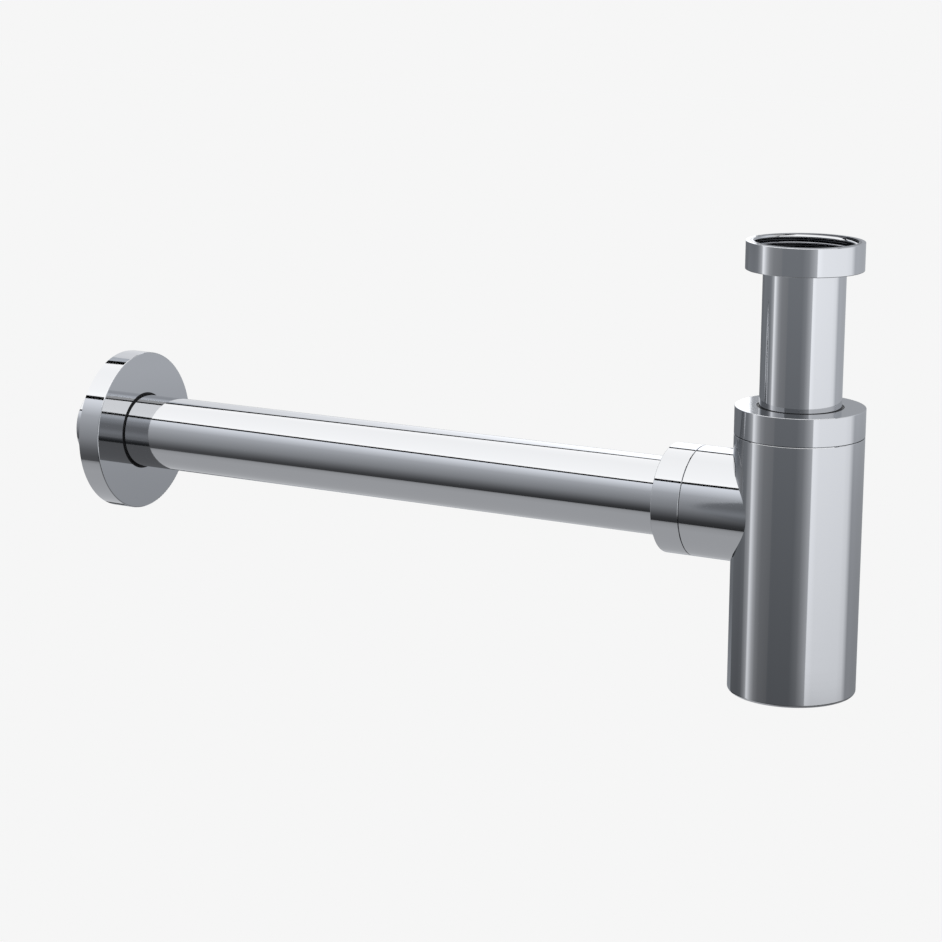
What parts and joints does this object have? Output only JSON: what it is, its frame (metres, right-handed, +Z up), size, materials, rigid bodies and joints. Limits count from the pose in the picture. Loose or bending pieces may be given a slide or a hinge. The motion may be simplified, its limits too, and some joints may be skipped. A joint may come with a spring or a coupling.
{
  "type": "bottle trap",
  "caption": "Chrome cylindrical bottle trap with a threaded inlet nut, adjustable dip tube, cleaning plug, and a side outlet pipe with a sliding round wall flange.",
  "frame": {"origin": "centre of the inlet nut's mouth", "axes": "+Z up the inlet axis, +Y along the outlet pipe to the wall"},
  "size_m": [0.0698, 0.3635, 0.1791],
  "materials": {
    "chrome_plated_brass": "polished",
    "black_rubber": "matte",
    "black_plastic": "satin"
  },
  "bodies": {
    "inlet_nut_body": {"inlet_nut": "chrome_plated_brass"},
    "tube_body": {"inlet_tube": "chrome_plated_brass", "inlet_washer": "black_rubber"},
    "gland_body": {"tube_cone_seal": "black_rubber"},
    "bottle_body": {"trap_body": "chrome_plated_brass", "outlet_cone_seal": "black_rubber"},
    "clamp_ring_body": {"tube_slip_ring": "black_plastic"},
    "clamp_nut_body": {"clamp_nut": "chrome_plated_brass"},
    "outlet_ring_body": {"outlet_slip_ring": "black_plastic"},
    "outlet_nut_body": {"outlet_nut": "chrome_plated_brass"},
    "pipe_body": {"outlet_pipe": "chrome_plated_brass"},
    "flange_body": {"wall_flange": "chrome_plated_brass", "flange_grip_ring": "black_rubber"},
    "plug_ring_body": {"plug_o_ring": "black_rubber"},
    "plug_body": {"cleaning_plug": "chrome_plated_brass"}
  },
  "joints": [
    {"name": "tube_swivel", "type": "hinge", "parent": "inlet_nut_body", "child": "tube_body", "pos_m": [0, 0, 0], "axis": [0, 0, 1], "continuous": true},
    {"name": "height_slide", "type": "slide", "parent": "tube_body", "child": "gland_body", "axis": [0, 0, 1], "range_m": [-0.02, 0.01]},
    {"name": "bottle_swivel", "type": "hinge", "parent": "gland_body", "child": "bottle_body", "pos_m": [0, 0, 0], "axis": [0, 0, 1], "continuous": true},
    {"name": "clamp_ring_lift", "type": "slide", "parent": "bottle_body", "child": "clamp_ring_body", "axis": [0, 0, 1], "range_m": [0, 0.0069]},
    {"name": "clamp_nut_turn", "type": "hinge", "parent": "clamp_ring_body", "child": "clamp_nut_body", "pos_m": [0, 0, 0], "axis": [0, 0, 1], "range_deg": [0, 1080]},
    {"name": "outlet_ring_slide", "type": "slide", "parent": "bottle_body", "child": "outlet_ring_body", "axis": [0, 1, 0], "range_m": [0, 0.0069]},
    {"name": "outlet_nut_turn", "type": "hinge", "parent": "outlet_ring_body", "child": "outlet_nut_body", "pos_m": [0, 0, -0.107], "axis": [0, 1, 0], "range_deg": [0, 1080]},
    {"name": "pipe_slide", "type": "slide", "parent": "bottle_body", "child": "pipe_body", "axis": [0, 1, 0], "range_m": [-0.018, 0.004]},
    {"name": "flange_slide", "type": "slide", "parent": "pipe_body", "child": "flange_body", "axis": [0, -1, 0], "range_m": [-0.012, 0.23]},
    {"name": "plug_ring_drop", "type": "slide", "parent": "bottle_body", "child": "plug_ring_body", "axis": [0, 0, -1], "range_m": [0, 0.00448]},
    {"name": "plug_turn", "type": "hinge", "parent": "plug_ring_body", "child": "plug_body", "pos_m": [0, 0, 0], "axis": [0, 0, -1], "range_deg": [0, 1080]}
  ],
  "couplings": [
    {"joint": "clamp_nut_turn", "follows": "clamp_ring_lift", "rad_per_m": 2721.2},
    {"joint": "outlet_nut_turn", "follows": "outlet_ring_slide", "rad_per_m": 2721.2},
    {"joint": "plug_turn", "follows": "plug_ring_drop", "rad_per_m": 4188.8}
  ]
}
